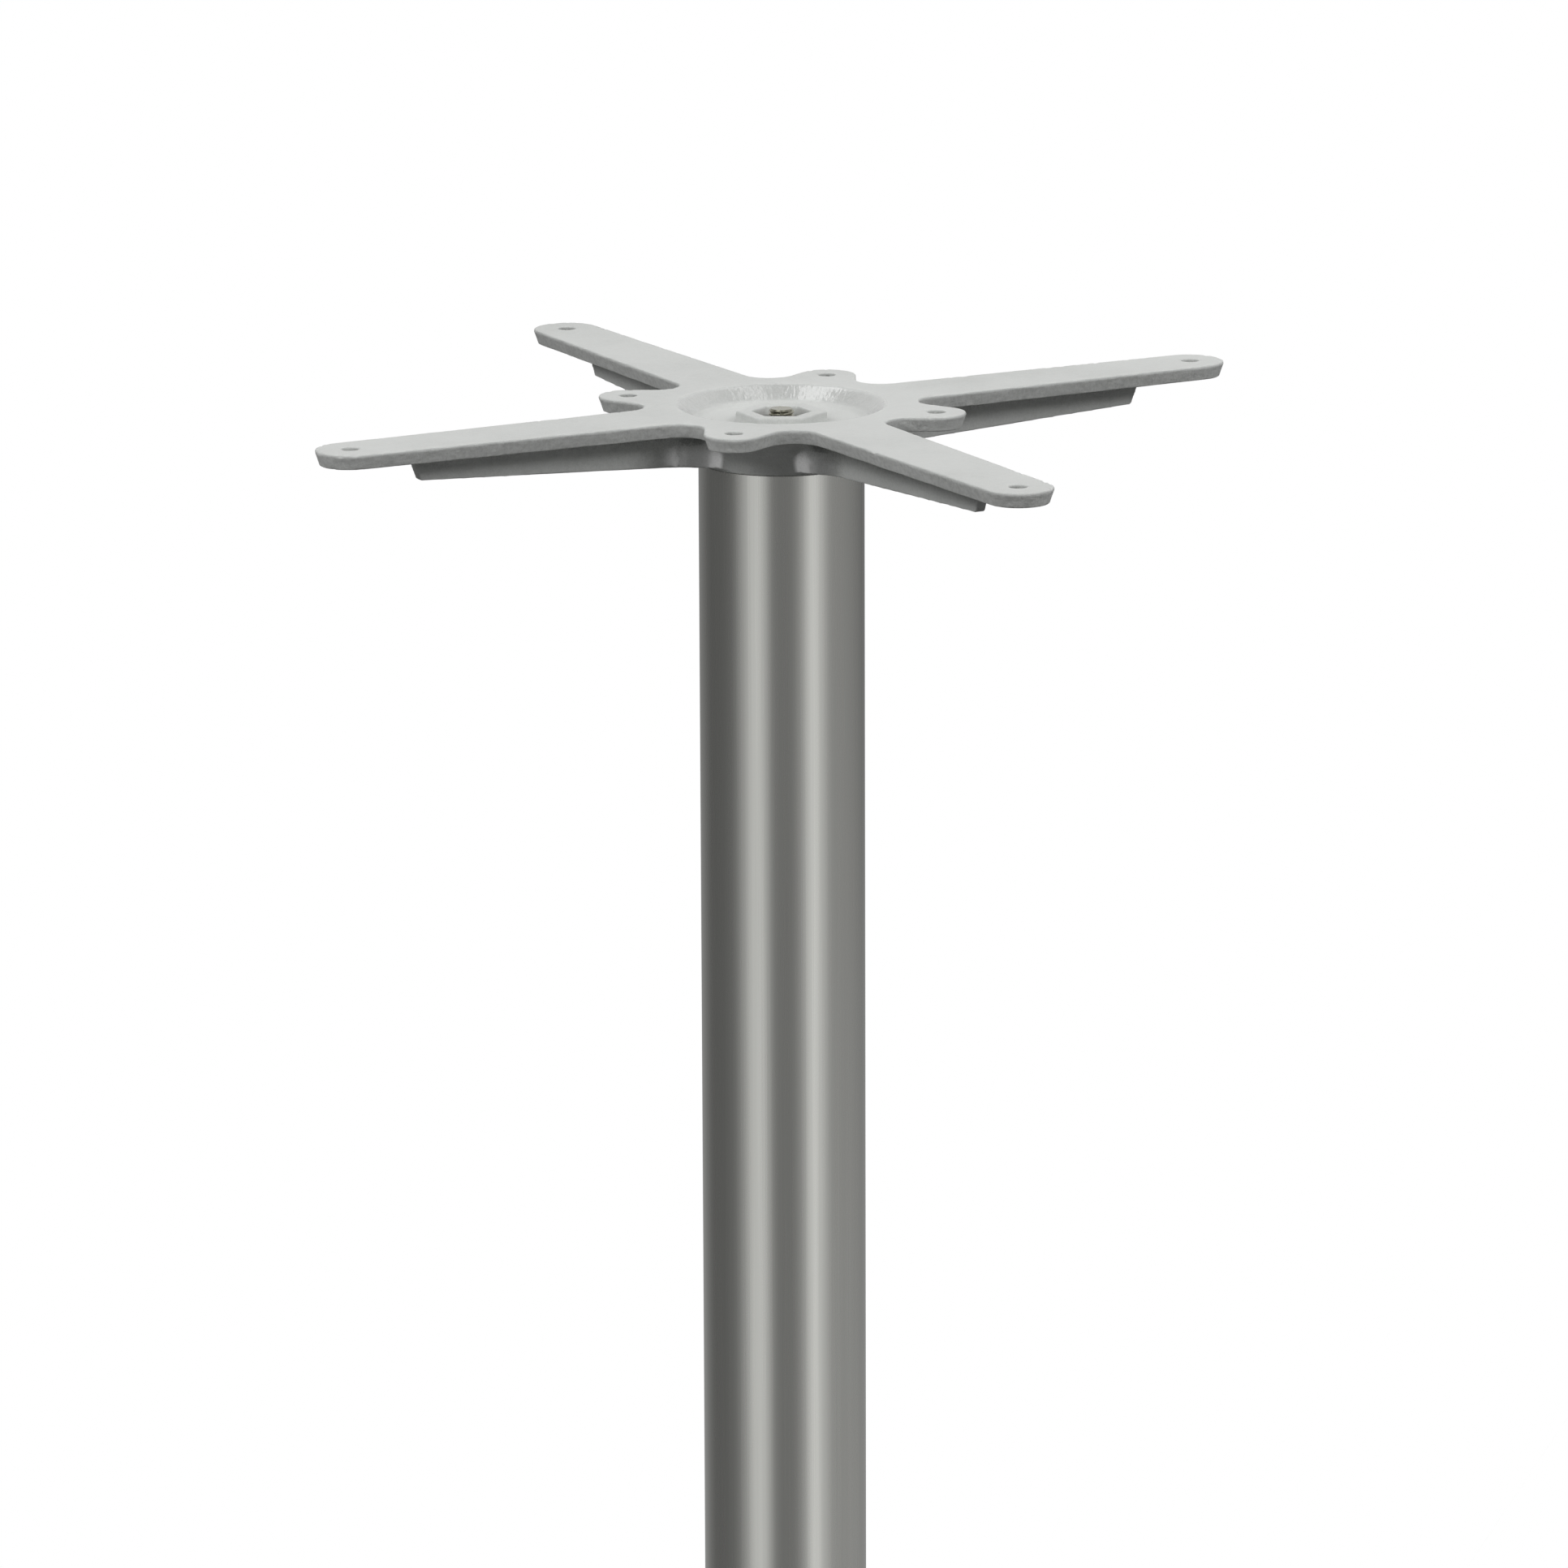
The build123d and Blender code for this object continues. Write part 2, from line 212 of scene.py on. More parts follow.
def smooth_noise(points, size, seed):
    """Values from -1 to 1 that change over about the given size."""
    place = points / size + CELL_OFFSET
    cell = np.floor(place)
    part = place - cell
    part = part * part * (3 - 2 * part)
    cell = cell.astype(np.int64)
    total = np.zeros(len(points))
    for corner in range(8):
        step = np.array([corner & 1, (corner >> 1) & 1, (corner >> 2) & 1])
        weight = np.prod(np.where(step, part, 1 - part), axis=1)
        total += weight * lattice_values(cell + step, seed)
    return 2 * total - 1


# The cast spider: the solid's own surface, remeshed evenly and given a foundry's unevenness
CAST_VOXEL = 0.55 * MM
CAST_TRIANGLES = 190000
CAST_SOFTEN, FACE_SOFTEN = 1, 60  # rounds of smoothing for the whole casting and for its faces
SOFTEN_FACTOR = 0.5
NORMAL_WEIGHT = 60
HOLE_KEEP = 6.5 * MM  # nothing closer than this to a hole's axis is smoothed or nicked

# Outer edges: how far a point stands out from its neighbours, in voxels, and how that spreads
EDGE_START, EDGE_SPAN = 0.03, 0.12
EDGE_SPREAD, EDGE_ROUNDS = 0.8, 2
FACE_LIMIT = 0.2
BOTH_WAYS = ((0, 1), (1, 0))

# The hub's underside, by radius and by depth under the top face
HUB_REACH, HUB_HIGH, HUB_LOW = 64 * MM, 9 * MM, 22.5 * MM

# The rim of the hub's fillet: where it starts and ends, and over what length each limit fades
RIM_DRAW = 2.2 * MM
RIM_HIGH, RIM_HIGH_FADE = 6.9 * MM, 0.3 * MM
RIM_LOW, RIM_LOW_FADE = 14 * MM, 4 * MM
RIM_INNER, RIM_INNER_FADE = 44 * MM, 3 * MM
RIM_OUTER, RIM_OUTER_FADE = 58 * MM, 4 * MM

# Unevenness, as sizes and depths
SWELL_SIZE, SWELL_DEPTH = 24 * MM, 0.12 * MM
LUMP_SIZE, LUMP_DEPTH = 7.0 * MM, 0.20 * MM
PIT_SIZE, PIT_DEPTH = 2.6 * MM, 0.07 * MM
TOP_SHARE, SIDE_GAIN = 0.15, 1.6

# Nicks along the upper edges, in patches, clear of the bowl and faint further down
NICK_SIZE, NICK_DEPTH = 2.4 * MM, 1.5 * MM
NICK_PATCH = 6 * NICK_SIZE
NICK_RARITY, NICK_SPREAD = 0.2, 0.3
NICK_DROP, NICK_FAINT = 2.5 * MM, 0.2
NICK_HUB = 52 * MM


def apply_modifiers(piece):
    graph = bpy.context.evaluated_depsgraph_get()
    mesh = bpy.data.meshes.new_from_object(piece.evaluated_get(graph))
    old = piece.data
    piece.modifiers.clear()
    piece.data = mesh
    bpy.data.meshes.remove(old)


def add_smoothing(piece, rounds, group=""):
    smooth = piece.modifiers.new("soften", "SMOOTH")
    smooth.vertex_group = group
    smooth.factor = SOFTEN_FACTOR
    smooth.iterations = rounds


def mesh_arrays(mesh):
    points = np.zeros(len(mesh.vertices) * 3)
    normals = np.zeros(len(mesh.vertices) * 3)
    ends = np.zeros(len(mesh.edges) * 2, np.int64)
    mesh.vertices.foreach_get("co", points)
    mesh.vertices.foreach_get("normal", normals)
    mesh.edges.foreach_get("vertices", ends)
    return points.reshape(-1, 3), normals.reshape(-1, 3), ends.reshape(-1, 2)


def grow(value, start, span):
    """From nought at the start to one a span further on."""
    return np.clip((value - start) / span, 0, 1)


def fade(value, end, span):
    """From one a span before the end to nought at the end."""
    return np.clip((end - value) / span, 0, 1)


def from_axis(points):
    return np.hypot(points[:, 0], points[:, 1])


def from_holes(points):
    """How far each point is from the axis of the nearest screw hole."""
    nearest = np.full(len(points), 1.0)
    for eighth in range(8):
        reach = EAR_HOLES if eighth % 2 else ARM_HOLES
        x, y = reach * cos(eighth * pi / 4), reach * sin(eighth * pi / 4)
        nearest = np.minimum(nearest, np.hypot(points[:, 0] - x, points[:, 1] - y))
    return nearest


def outer_edges(points, normals, ends):
    """From nought on a face to one on an outer edge, where a point stands out from its neighbours."""
    pull = np.zeros_like(points)
    degree = np.zeros(len(points))
    for a, b in BOTH_WAYS:
        np.add.at(pull, ends[:, a], points[ends[:, b]] - points[ends[:, a]])
        np.add.at(degree, ends[:, a], 1)
    stand_out = -np.einsum("ij,ij->i", pull / degree[:, None], normals) / CAST_VOXEL
    edge = grow(stand_out, EDGE_START, EDGE_SPAN)
    for _ in range(EDGE_ROUNDS):
        spread = edge.copy()
        for a, b in BOTH_WAYS:
            np.maximum.at(spread, ends[:, a], EDGE_SPREAD * edge[ends[:, b]])
        edge = spread
    return edge


def smooth_faces(piece):
    """Smooths the faces and the hub's underside. The edges and holes keep their shape."""
    points, normals, ends = mesh_arrays(piece.data)
    drop = TABLE_HEIGHT - points[:, 2]
    calm = (outer_edges(points, normals, ends) < FACE_LIMIT) & (from_holes(points) > HOLE_KEEP)
    calm |= (from_axis(points) < HUB_REACH) & (drop > HUB_HIGH) & (drop < HUB_LOW)
    faces = piece.vertex_groups.new(name="faces")
    faces.add(np.flatnonzero(calm).tolist(), 1.0, "REPLACE")
    add_smoothing(piece, FACE_SOFTEN, "faces")
    apply_modifiers(piece)
    piece.vertex_groups.clear()


def draw_rim(points, drop):
    """Draws in the rim of the hub's fillet, so that it stays under the plate between ears and arms."""
    reach = from_axis(points)
    rim = grow(drop, RIM_HIGH, RIM_HIGH_FADE) * fade(drop, RIM_LOW, RIM_LOW_FADE)
    rim *= grow(reach, RIM_INNER, RIM_INNER_FADE) * fade(reach, RIM_OUTER, RIM_OUTER_FADE)
    points[:, :2] *= (1 - RIM_DRAW * rim / np.maximum(reach, MM))[:, None]


def foundry_shift(points, normals, edge, drop):
    """How far each point moves along its normal: the flat top least, the sand-cast sides most."""
    side = np.clip(SIDE_GAIN * (1 - np.abs(normals[:, 2])), 0, 1)
    rough = TOP_SHARE + (1 - TOP_SHARE) * side
    shift = SWELL_DEPTH * smooth_noise(points, SWELL_SIZE, 1)
    shift += LUMP_DEPTH * rough * smooth_noise(points, LUMP_SIZE, 2)
    shift += PIT_DEPTH * rough * smooth_noise(points, PIT_SIZE, 3)
    nick = np.clip(smooth_noise(points, NICK_SIZE, 4) - NICK_RARITY, 0, 1)
    nick *= np.clip(smooth_noise(points, NICK_PATCH, 5) + NICK_SPREAD, 0, 1)
    nick *= NICK_FAINT + (1 - NICK_FAINT) * np.clip(2 * (1 - drop / NICK_DROP), 0, 1)
    nick *= grow(from_axis(points), NICK_HUB, NICK_DROP)
    nick *= grow(from_holes(points), HOLE_KEEP, NICK_DROP)
    shift -= NICK_DEPTH * edge * nick
    return np.minimum(shift, 0.0)


def cast_copy(node, name):
    piece = new_object(name, nodes[node].data.copy())
    remesh = piece.modifiers.new("even", "REMESH")
    remesh.mode = "VOXEL"
    remesh.voxel_size = CAST_VOXEL
    remesh.use_smooth_shade = True
    add_smoothing(piece, CAST_SOFTEN)
    apply_modifiers(piece)
    smooth_faces(piece)

    points, normals, ends = mesh_arrays(piece.data)
    edge = outer_edges(points, normals, ends)
    drop = TABLE_HEIGHT - points[:, 2]
    draw_rim(points, drop)
    points += normals * foundry_shift(points, normals, edge, drop)[:, None]
    piece.data.vertices.foreach_set("co", points.ravel())
    piece.data.update()

    thin = piece.modifiers.new("thin", "DECIMATE")
    thin.ratio = min(1.0, CAST_TRIANGLES / (2 * len(piece.data.polygons)))
    apply_modifiers(piece)
    piece.data.name = name
    piece.data.shade_smooth()
    weigh = piece.modifiers.new("weigh", "WEIGHTED_NORMAL")
    weigh.weight = NORMAL_WEIGHT
    return piece


# Material helpers
def new_material(name):
    material = bpy.data.materials.new(name)
    material.use_nodes = True
    tree = material.node_tree
    shader = tree.nodes["Principled BSDF"]
    return material, tree, shader


def add_node(tree, kind, settings=None, inputs=None):
    node = tree.nodes.new(kind)
    for key, value in (settings or {}).items():
        setattr(node, key, value)
    for key, value in (inputs or {}).items():
        if isinstance(value, bpy.types.NodeSocket):
            tree.links.new(value, node.inputs[key])
        else:
            node.inputs[key].default_value = value
    return node


def noise(tree, vector, scale, detail, rough):
    inputs = {"Vector": vector, "Scale": scale, "Detail": detail, "Roughness": rough}
    return add_node(tree, "ShaderNodeTexNoise", inputs=inputs).outputs["Fac"]


def remap(tree, value, low, high, to_low, to_high):
    inputs = {"Value": value, "From Min": low, "From Max": high, "To Min": to_low, "To Max": to_high}
    node = add_node(tree, "ShaderNodeMapRange", {"interpolation_type": "SMOOTHSTEP"}, inputs)
    return node.outputs["Result"]


def calc(tree, operation, first, second=None):
    inputs = {0: first} if second is None else {0: first, 1: second}
    return add_node(tree, "ShaderNodeMath", {"operation": operation}, inputs).outputs[0]


def times(tree, first, second):
    return calc(tree, "MULTIPLY", first, second)


def ramp(tree, value, stops):
    node = add_node(tree, "ShaderNodeValToRGB", inputs={"Fac": value})
    elements = node.color_ramp.elements
    while len(elements) < len(stops):
        elements.new(0.5)
    for element, (place, colour) in zip(elements, stops):
        element.position = place
        element.color = (*colour, 1.0)
    return node.outputs["Color"]


def bump(tree, height, distance, strength, normal=None):
    inputs = {"Height": height, "Distance": distance, "Strength": strength}
    if normal is not None:
        inputs["Normal"] = normal
    return add_node(tree, "ShaderNodeBump", inputs=inputs).outputs["Normal"]


def object_place(tree):
    return add_node(tree, "ShaderNodeTexCoord").outputs["Object"]


def split(tree, vector):
    return add_node(tree, "ShaderNodeSeparateXYZ", inputs={"Vector": vector}).outputs


def join(tree, x, y, z):
    return add_node(tree, "ShaderNodeCombineXYZ", inputs={"X": x, "Y": y, "Z": z}).outputs["Vector"]


def stretch(tree, vector, scale):
    inputs = {"Vector": vector, "Scale": scale}
    return add_node(tree, "ShaderNodeMapping", inputs=inputs).outputs["Vector"]


def flat_length(tree, x, y):
    flat = join(tree, x, y, 0.0)
    return add_node(tree, "ShaderNodeVectorMath", {"operation": "LENGTH"}, {0: flat}).outputs["Value"]


def radius_of(tree, parts):
    return flat_length(tree, parts["X"], parts["Y"])


def turn_of(tree, parts):
    return calc(tree, "ARCTAN2", parts["Y"], parts["X"])


def link(tree, value, shader, socket):
    tree.links.new(value, shader.inputs[socket])


# Where the casting's finish and its painted shade change: radii about the axis and depths under the top
# face
WALL_INNER, WALL_OUTER = (39.5 * MM, 41.5 * MM), (47.0 * MM, 49.0 * MM)
WALL_DEPTH = (10.0 * MM, 8.8 * MM)
TOP_DEPTH = (1.6 * MM, 0.4 * MM)
BOWL_RADIUS = (46.0 * MM, 50.0 * MM)
PLATE_DEPTH, UNDER_DEPTH = (8.5 * MM, 6.5 * MM), (8.5 * MM, 7.0 * MM)
LACQUER_DEPTH = (20.0 * MM, 12.5 * MM)
LACQUER_INNER, LACQUER_OUTER = (39.2 * MM, 40.2 * MM), (50.0 * MM, 66.0 * MM)
BORE_DEPTH, BORE_RIM = (1.2 * MM, 0.4 * MM), (0.2 * MM, 0.6 * MM)

# How coarse the skin is on the top face, in the bowl and under the plate, against one on the sides
TOP_COARSE, BOWL_COARSE, UNDER_COARSE = 0.2, 0.25, 0.30

# Shares of the casting's tone, and the painted shade taken off it in the holes, on the wall of the bowl
# and in the recesses under the plate
CLOUD_SHARE, SPECK_SHARE, MOTTLE_SHARE = 0.6, 0.4, 0.26
BORE_SHADE, WALL_SHADE = 0.3, 0.28
RECESS_SHADE, RECESS_REACH = 0.9, 0.06
CASTING_TONES = [
    (0.0, (0.200, 0.205, 0.198)),
    (0.2, (0.520, 0.532, 0.516)),
    (0.5, (0.660, 0.672, 0.656)),
    (0.8, (0.745, 0.757, 0.741)),
]

# Gloss of the powder coat, and of the lacquer over it
GLOSS_LOW, GLOSS_SWING = 0.47, 0.10
LACQUER_IOR, LACQUER_ROUGHNESS = 2.6, 0.13

# Streaks down the wall of the bowl, for each radian round it and each metre down it
STREAKS_ROUND, STREAKS_DOWN = 24.0, 260.0


def by_depth(tree, parts, span, deep, shallow):
    """One value deep under the top face and another close to it."""
    return remap(tree, parts["Z"], TABLE_HEIGHT - span[0], TABLE_HEIGHT - span[1], deep, shallow)


def by_radius(tree, radius, span, near, far):
    return remap(tree, radius, span[0], span[1], near, far)


def hole_shade_mask(tree, parts):
    """One inside the screw holes, where shade is painted into the colour, nought elsewhere."""
    across = calc(tree, "ABSOLUTE", parts["X"])
    along = calc(tree, "ABSOLUTE", parts["Y"])
    far = calc(tree, "MAXIMUM", across, along)
    near = calc(tree, "MINIMUM", across, along)
    ear = EAR_HOLES * cos(pi / 4)
    rim = (HOLE_RADIUS + BORE_RIM[0], HOLE_RADIUS + BORE_RIM[1])
    masks = []
    for x, y in ((ARM_HOLES, 0.0), (ear, ear)):
        away = flat_length(tree, calc(tree, "SUBTRACT", far, x), calc(tree, "SUBTRACT", near, y))
        masks.append(by_radius(tree, away, rim, 1.0, 0.0))
    deep = by_depth(tree, parts, BORE_DEPTH, 1.0, 0.0)
    return times(tree, calc(tree, "MAXIMUM", masks[0], masks[1]), deep)


# Powder coat over a sand casting, lacquered on the wall of the bowl and under the hub, with shade painted
# into its holes, its bowl wall and its recesses
def casting_material():
    material, tree, shader = new_material("coated_casting")
    place = object_place(tree)
    parts = split(tree, place)
    radius = radius_of(tree, parts)

    wall = by_radius(tree, radius, WALL_INNER, 0.0, 1.0)
    wall = times(tree, wall, by_radius(tree, radius, WALL_OUTER, 1.0, 0.0))
    wall = times(tree, wall, by_depth(tree, parts, WALL_DEPTH, 0.0, 1.0))
    coarse = by_depth(tree, parts, TOP_DEPTH, 1.0, TOP_COARSE)
    coarse = times(tree, coarse, by_radius(tree, radius, BOWL_RADIUS, BOWL_COARSE, 1.0))
    coarse = times(tree, coarse, by_depth(tree, parts, PLATE_DEPTH, UNDER_COARSE, 1.0))
    lacquer = by_depth(tree, parts, LACQUER_DEPTH, 1.0, 0.0)
    lacquer = times(tree, lacquer, by_radius(tree, radius, LACQUER_INNER, 0.0, 1.0))
    lacquer = times(tree, lacquer, by_radius(tree, radius, LACQUER_OUTER, 1.0, 0.0))
    under = by_depth(tree, parts, UNDER_DEPTH, 1.0, 0.0)

    # Colour, with painted shade in the holes, on the wall of the bowl and in the recesses under the plate
    cloud = noise(tree, place, 16.0, 4.0, 0.55)
    speck = noise(tree, place, 1500.0, 2.0, 0.6)
    mottle = remap(tree, noise(tree, place, 420.0, 3.0, 0.6), 0.34, 0.66, -0.5, 0.5)
    mottle = times(tree, times(tree, mottle, coarse), MOTTLE_SHARE)
    tone = calc(tree, "ADD", times(tree, cloud, CLOUD_SHARE), times(tree, speck, SPECK_SHARE))
    tone = calc(tree, "ADD", tone, mottle)
    # Painted shade inside the screw holes
    painted_hole_shade = times(tree, hole_shade_mask(tree, parts), BORE_SHADE)
    # Painted shade on the wall of the bowl, taken off the tone together with the holes' painted shade
    tone = calc(tree, "SUBTRACT", tone, calc(tree, "ADD", painted_hole_shade, times(tree, wall, WALL_SHADE)))
    # Painted shade in the recesses under the plate, deepest where ambient occlusion is strongest
    own = {"samples": 8, "only_local": True}
    open_sky = add_node(tree, "ShaderNodeAmbientOcclusion", own, {"Distance": RECESS_REACH})
    recess = remap(tree, open_sky.outputs["AO"], 0.0, 1.0, RECESS_SHADE, 0.0)
    tone = calc(tree, "SUBTRACT", tone, times(tree, recess, under))
    link(tree, ramp(tree, tone, CASTING_TONES), shader, "Base Color")

    gloss = calc(tree, "ADD", times(tree, cloud, GLOSS_SWING), GLOSS_LOW)
    link(tree, gloss, shader, "Roughness")
    link(tree, calc(tree, "MAXIMUM", lacquer, wall), shader, "Coat Weight")
    shader.inputs["Coat IOR"].default_value = LACQUER_IOR
    shader.inputs["Coat Roughness"].default_value = LACQUER_ROUGHNESS

    # Skin: lumps and grain of the sand, and streaks down the wall of the bowl
    grain = remap(tree, noise(tree, place, 900.0, 3.0, 0.65), 0.3, 0.7, 0.0, 1.0)
    lumps = remap(tree, noise(tree, place, 300.0, 2.0, 0.55), 0.3, 0.7, 0.0, 1.0)
    skin = bump(tree, times(tree, lumps, coarse), 0.22 * MM, 0.6)
    skin = bump(tree, times(tree, grain, coarse), 0.07 * MM, 0.6, skin)
    streak_turn = times(tree, turn_of(tree, parts), STREAKS_ROUND)
    streak_place = join(tree, streak_turn, times(tree, radius, STREAKS_DOWN), 0.0)
    streaks = remap(tree, noise(tree, streak_place, 1.0, 2.0, 0.5), 0.3, 0.7, 0.0, 1.0)
    skin = bump(tree, times(tree, streaks, wall), 0.10 * MM, 1.0, skin)
    link(tree, skin, shader, "Normal")
    link(tree, skin, shader, "Coat Normal")
    return material


# Satin stainless steel: fine and broad grain along the column, or round the spun cover
COLUMN_GRAIN = ((1900.0, 1900.0, 5.0), (260.0, 260.0, 1.2))
COVER_GRAIN = ((2600.0, 2600.0, 900.0), (320.0, 320.0, 160.0))
COVER_TURN = 0.0012  # metres of grain for each radian round the cover
FINE_SHARE, BROAD_SHARE = 0.55, 0.45


def stainless_material(name, spun):
    material, tree, shader = new_material(name)
    place = object_place(tree)
    fine_scale, broad_scale = COVER_GRAIN if spun else COLUMN_GRAIN
    if spun:
        parts = split(tree, place)
        along = times(tree, turn_of(tree, parts), COVER_TURN)
        place = join(tree, radius_of(tree, parts), along, parts["Z"])
    else:
        shader.inputs["Anisotropic Rotation"].default_value = 0.25
    fine = noise(tree, stretch(tree, place, fine_scale), 1.0, 2.0, 0.6)
    broad = noise(tree, stretch(tree, place, broad_scale), 1.0, 2.0, 0.5)
    tone = calc(tree, "ADD", times(tree, fine, FINE_SHARE), times(tree, broad, BROAD_SHARE))
    colour = ramp(tree, tone, [(0.3, (0.565, 0.568, 0.540)), (0.7, (0.605, 0.608, 0.578))])
    link(tree, colour, shader, "Base Color")
    link(tree, remap(tree, tone, 0.3, 0.7, 0.295, 0.265), shader, "Roughness")
    shader.inputs["Metallic"].default_value = 1.0
    shader.inputs["Anisotropic"].default_value = 0.5
    tangent = add_node(tree, "ShaderNodeTangent", {"direction_type": "RADIAL", "axis": "Z"})
    link(tree, tangent.outputs["Tangent"], shader, "Tangent")
    link(tree, bump(tree, fine, 0.006 * MM, 0.4), shader, "Normal")
    return material


# Zinc plating with a faint warm passivation
def zinc_material():
    material, tree, shader = new_material("zinc_plated")
    place = object_place(tree)
    patch = noise(tree, place, 130.0, 3.0, 0.6)
    colour = ramp(tree, patch, [(0.35, (0.255, 0.250, 0.200)), (0.65, (0.400, 0.390, 0.320))])
    link(tree, colour, shader, "Base Color")
    shader.inputs["Metallic"].default_value = 1.0
    link(tree, remap(tree, patch, 0.3, 0.7, 0.20, 0.36), shader, "Roughness")
    fine = noise(tree, place, 1600.0, 2.0, 0.5)
    link(tree, bump(tree, fine, 0.03 * MM, 0.6), shader, "Normal")
    return material


# Black painted grey iron, rough from the sand
def iron_material():
    material, tree, shader = new_material("cast_iron")
    place = object_place(tree)
    cloud = noise(tree, place, 22.0, 4.0, 0.6)
    colour = ramp(tree, cloud, [(0.3, (0.030, 0.030, 0.031)), (0.7, (0.062, 0.060, 0.058))])
    link(tree, colour, shader, "Base Color")
    link(tree, remap(tree, cloud, 0.3, 0.7, 0.5, 0.68), shader, "Roughness")
    lumps = bump(tree, noise(tree, place, 140.0, 2.0, 0.5), 0.5 * MM, 0.6)
    skin = bump(tree, noise(tree, place, 700.0, 3.0, 0.6), 0.25 * MM, 0.7, lumps)
    link(tree, skin, shader, "Normal")
    return material


# Moulded black plastic with a fine spark-eroded grain
def plastic_material():
    material, tree, shader = new_material("pad_plastic")
    place = object_place(tree)
    cloud = noise(tree, place, 60.0, 3.0, 0.5)
    colour = ramp(tree, cloud, [(0.3, (0.018, 0.018, 0.019)), (0.7, (0.032, 0.032, 0.033))])
    link(tree, colour, shader, "Base Color")
    link(tree, remap(tree, cloud, 0.3, 0.7, 0.42, 0.56), shader, "Roughness")
    grain = noise(tree, place, 2200.0, 2.0, 0.5)
    link(tree, bump(tree, grain, 0.04 * MM, 0.7), shader, "Normal")
    return material


casting = casting_material()
column_steel = stainless_material("satin_stainless", False)
cover_steel = stainless_material("satin_stainless_spun", True)
zinc = zinc_material()
iron = iron_material()
plastic = plastic_material()


def dress(piece, material):
    piece.data.materials.clear()
    piece.data.materials.append(material)


# The spider
spider = cast_copy("top_spider", "spider_casting")
dress(spider, casting)
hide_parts("top_spider")
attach(spider, "stand")

# The column, with its cut ends just broken
inner = COLUMN_RADIUS - COLUMN_WALL
column_profile = [
    (inner, COLUMN_BOTTOM + COLUMN_EDGE),
    (inner + COLUMN_EDGE, COLUMN_BOTTOM),
    (COLUMN_RADIUS - COLUMN_EDGE, COLUMN_BOTTOM),
    (COLUMN_RADIUS, COLUMN_BOTTOM + COLUMN_EDGE),
    (COLUMN_RADIUS, COLUMN_TOP - COLUMN_RIM),
    (COLUMN_RADIUS - COLUMN_RIM, COLUMN_TOP),
    (inner + COLUMN_EDGE, COLUMN_TOP),
    (inner, COLUMN_TOP - COLUMN_EDGE),
]
column = new_object("column_brushed", revolved("column_brushed", column_profile, COLUMN_SEGMENTS))
dress(column, column_steel)
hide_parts("column_tube")
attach(column, "stand")

# The tie rod, threaded at both ends
lower_end = ROD_BOTTOM + ROD_THREAD_LENGTH
upper_end = ROD_TOP - ROD_THREAD_LENGTH
rows = thread_rows(ROD_RADIUS, ROD_PITCH, ROD_BOTTOM, lower_end, ROD_CHAMFER, "bottom")
rows += thread_rows(ROD_RADIUS, ROD_PITCH, upper_end, ROD_TOP, ROD_CHAMFER, "top")
rod = new_object("tie_rod_threaded", lofted("tie_rod_threaded", rows, (0.0, 0.0)))
dress(rod, zinc)
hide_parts("tie_rod")
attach(rod, "stand")

# The levelling studs: a hexagonal head in the pad and a thread into the foot
for place in ("back_right", "back_left", "front_left", "front_right"):
    low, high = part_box(f"foot_stud_{place}")
    centre = ((low.x + high.x) / 2, (low.y + high.y) / 2)
    head_top = low.z + STUD_HEAD_HEIGHT
    rows = [
        hexagon_row(STUD_HEAD_FLATS - 2 * STUD_HEAD_CHAMFER, low.z),
        hexagon_row(STUD_HEAD_FLATS, low.z + STUD_HEAD_CHAMFER),
        hexagon_row(STUD_HEAD_FLATS, head_top - STUD_HEAD_CHAMFER),
        hexagon_row(STUD_HEAD_FLATS - 2 * STUD_HEAD_CHAMFER, head_top),
        round_row(STUD_RADIUS, head_top),
    ]
    rows += thread_rows(STUD_RADIUS, STUD_PITCH, head_top + STUD_NECK, high.z, STUD_CHAMFER, "top")
    stud = new_object(f"foot_stud_threaded_{place}", lofted(f"foot_stud_{place}_mesh", rows, centre))
    dress(stud, zinc)
    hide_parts(f"foot_stud_{place}")
    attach(stud, f"foot_{place}")
    dress(nodes[f"foot_pad_{place}"], plastic)

dress(nodes["base_cover"], cover_steel)
dress(nodes["base_weight"], iron)
for name in ("top_nut", "bottom_nut", "bottom_flat_washer", "bottom_spring_washer"):
    dress(nodes[name], zinc)

# Stage directions as the camera sees them: right, and away from it
sin_az, cos_az = sin(CAMERA_AZIMUTH), cos(CAMERA_AZIMUTH)
stage_right = Vector((cos_az, sin_az, 0.0))
stage_away = Vector((-sin_az, cos_az, 0.0))


def on_stage(right, away, height):
    return right * stage_right + away * stage_away + Vector((0.0, 0.0, height))


# Camera
sin_el, cos_el = sin(CAMERA_ELEVATION), cos(CAMERA_ELEVATION)
to_camera = Vector((sin_az * cos_el, -cos_az * cos_el, sin_el))
level_up = to_camera.cross(stage_right)
view_right = cos(CAMERA_ROLL) * stage_right + sin(CAMERA_ROLL) * level_up
view_up = cos(CAMERA_ROLL) * level_up - sin(CAMERA_ROLL) * stage_right
look_at = Vector((0.0, 0.0, TABLE_HEIGHT - LOOK_DROP)) + LOOK_RIGHT * stage_right
camera_data = bpy.data.cameras.new("camera")
camera_data.lens = CAMERA_LENS
camera_data.sensor_width = CAMERA_SENSOR
camera = new_object("camera", camera_data)
axes = Matrix((view_right, view_up, to_camera)).transposed().to_4x4()
camera.matrix_world = Matrix.Translation(look_at + CAMERA_DISTANCE * to_camera) @ axes
scene.camera = camera

# Pale floor: nearly white to look at, dull to the light, with a painted shadow of the object in its glow
# close to it
FLOOR_SIZE = 45.0
FLOOR_NEAR, FLOOR_FAR = 0.35, 1.35
FLOOR_GLOW = 0.66  # share of the glow near the object, against one far away
FLOOR_SHADE_REACH = 0.4


